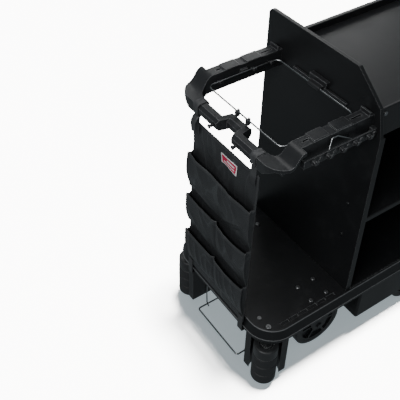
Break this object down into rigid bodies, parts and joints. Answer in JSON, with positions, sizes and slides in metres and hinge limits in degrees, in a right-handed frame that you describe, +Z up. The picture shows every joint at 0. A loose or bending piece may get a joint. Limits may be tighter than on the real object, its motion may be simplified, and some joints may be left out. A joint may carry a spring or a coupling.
{
  "type": "housekeeping cart",
  "caption": "Housekeeping cart with a moulded deck on wheels, an open cabinet with shelf and tray, wire bag frames in end bays, handle bars, bumper rollers and a hanging pocket organizer.",
  "frame": {"origin": "on the floor, under the middle of the whole cart's box", "axes": "+X along the cart towards the right end, +Y across it towards the cabinet's back panel, +Z up"},
  "size_m": [1.5478, 0.559, 1.162],
  "materials": {
    "black_plastic": "satin moulded",
    "charcoal_plastic": "satin moulded",
    "grey_plastic": "satin moulded",
    "rubber": "matt",
    "grey_tyre": "matt non-marking",
    "zinc_steel": "zinc plated",
    "plated_wire": "nickel plated wire",
    "nylon_fabric": "coated woven nylon"
  },
  "bodies": {
    "cart": {"deck": "black_plastic", "deck_screws": "zinc_steel", "caster_bolts": "zinc_steel", "corner_leg_left_front": "black_plastic", "corner_leg_left_back": "black_plastic", "corner_leg_right_front": "black_plastic", "corner_leg_right_back": "black_plastic", "roller_axles": "zinc_steel", "caster_plates": "zinc_steel", "wheel_fairing_front": "black_plastic", "wheel_fairing_back": "black_plastic", "centre_axles": "zinc_steel", "end_panel_left": "black_plastic", "end_panel_right": "black_plastic", "back_panel": "black_plastic", "shelf": "black_plastic", "tray_floor": "black_plastic", "tray_front": "black_plastic", "panel_screws": "zinc_steel", "bag_arm_left_front": "charcoal_plastic", "bag_arm_left_back": "charcoal_plastic", "bag_arm_right_front": "charcoal_plastic", "bag_arm_right_back": "charcoal_plastic", "handle_bar_left": "charcoal_plastic", "handle_bar_right": "charcoal_plastic", "hinge_blocks": "grey_plastic", "frame_clips": "grey_plastic", "utility_rails": "black_plastic", "rail_wires": "plated_wire", "rack_brackets": "plated_wire", "organizer_sheet": "nylon_fabric", "organizer_pockets": "nylon_fabric", "organizer_straps": "nylon_fabric"},
    "caster_swivel_left_front": {"caster_fork_left_front": "black_plastic"},
    "caster_wheel_left_front": {"caster_tyre_left_front": "grey_tyre", "caster_hub_left_front": "black_plastic"},
    "roller_left_front": {"roller_core_left_front": "grey_plastic", "roller_rings_left_front": "rubber"},
    "caster_swivel_left_back": {"caster_fork_left_back": "black_plastic"},
    "caster_wheel_left_back": {"caster_tyre_left_back": "grey_tyre", "caster_hub_left_back": "black_plastic"},
    "roller_left_back": {"roller_core_left_back": "grey_plastic", "roller_rings_left_back": "rubber"},
    "caster_swivel_right_front": {"caster_fork_right_front": "black_plastic"},
    "caster_wheel_right_front": {"caster_tyre_right_front": "grey_tyre", "caster_hub_right_front": "black_plastic"},
    "roller_right_front": {"roller_core_right_front": "grey_plastic", "roller_rings_right_front": "rubber"},
    "caster_swivel_right_back": {"caster_fork_right_back": "black_plastic"},
    "caster_wheel_right_back": {"caster_tyre_right_back": "grey_tyre", "caster_hub_right_back": "black_plastic"},
    "roller_right_back": {"roller_core_right_back": "grey_plastic", "roller_rings_right_back": "rubber"},
    "centre_wheel_front": {"centre_tyre_front": "grey_tyre", "centre_hub_front": "black_plastic"},
    "centre_wheel_back": {"centre_tyre_back": "grey_tyre", "centre_hub_back": "black_plastic"},
    "bag_frame_left": {"bag_frame_left": "plated_wire"},
    "bag_frame_right": {"bag_frame_right": "plated_wire"},
    "vacuum_rack": {"vacuum_rack": "plated_wire"}
  },
  "joints": [
    {"name": "caster_swivel_left_front", "type": "hinge", "parent": "cart", "child": "caster_swivel_left_front", "pos_m": [-0.48608, -0.1915, 0.236], "axis": [0, 0, 1], "continuous": true},
    {"name": "caster_spin_left_front", "type": "hinge", "parent": "caster_swivel_left_front", "child": "caster_wheel_left_front", "pos_m": [-0.44108, -0.1915, 0.1], "axis": [0, 1, 0], "continuous": true},
    {"name": "roller_spin_left_front", "type": "hinge", "parent": "cart", "child": "roller_left_front", "pos_m": [-0.70708, -0.2305, 0.12], "axis": [0, 0, 1], "continuous": true},
    {"name": "caster_swivel_left_back", "type": "hinge", "parent": "cart", "child": "caster_swivel_left_back", "pos_m": [-0.48608, 0.1915, 0.236], "axis": [0, 0, 1], "continuous": true},
    {"name": "caster_spin_left_back", "type": "hinge", "parent": "caster_swivel_left_back", "child": "caster_wheel_left_back", "pos_m": [-0.44108, 0.1915, 0.1], "axis": [0, 1, 0], "continuous": true},
    {"name": "roller_spin_left_back", "type": "hinge", "parent": "cart", "child": "roller_left_back", "pos_m": [-0.70708, 0.2305, 0.12], "axis": [0, 0, 1], "continuous": true},
    {"name": "caster_swivel_right_front", "type": "hinge", "parent": "cart", "child": "caster_swivel_right_front", "pos_m": [0.49792, -0.1915, 0.236], "axis": [0, 0, 1], "continuous": true},
    {"name": "caster_spin_right_front", "type": "hinge", "parent": "caster_swivel_right_front", "child": "caster_wheel_right_front", "pos_m": [0.45292, -0.1915, 0.1], "axis": [0, 1, 0], "continuous": true},
    {"name": "roller_spin_right_front", "type": "hinge", "parent": "cart", "child": "roller_right_front", "pos_m": [0.71892, -0.2305, 0.12], "axis": [0, 0, 1], "continuous": true},
    {"name": "caster_swivel_right_back", "type": "hinge", "parent": "cart", "child": "caster_swivel_right_back", "pos_m": [0.49792, 0.1915, 0.236], "axis": [0, 0, 1], "continuous": true},
    {"name": "caster_spin_right_back", "type": "hinge", "parent": "caster_swivel_right_back", "child": "caster_wheel_right_back", "pos_m": [0.45292, 0.1915, 0.1], "axis": [0, 1, 0], "continuous": true},
    {"name": "roller_spin_right_back", "type": "hinge", "parent": "cart", "child": "roller_right_back", "pos_m": [0.71892, 0.2305, 0.12], "axis": [0, 0, 1], "continuous": true},
    {"name": "centre_spin_front", "type": "hinge", "parent": "cart", "child": "centre_wheel_front", "pos_m": [0.00592, -0.227, 0.1], "axis": [0, 1, 0], "continuous": true},
    {"name": "centre_spin_back", "type": "hinge", "parent": "cart", "child": "centre_wheel_back", "pos_m": [0.00592, 0.227, 0.1], "axis": [0, 1, 0], "continuous": true},
    {"name": "bag_frame_lift_left", "type": "hinge", "parent": "cart", "child": "bag_frame_left", "pos_m": [-0.41808, 0, 1.028], "axis": [0, 1, 0], "range_deg": [0, 85]},
    {"name": "bag_frame_lift_right", "type": "hinge", "parent": "cart", "child": "bag_frame_right", "pos_m": [0.42992, 0, 1.028], "axis": [0, -1, 0], "range_deg": [0, 85]},
    {"name": "vacuum_rack_fold", "type": "hinge", "parent": "cart", "child": "vacuum_rack", "pos_m": [-0.63608, 0, 0.235], "axis": [0, 1, 0], "range_deg": [0, 90]}
  ]
}
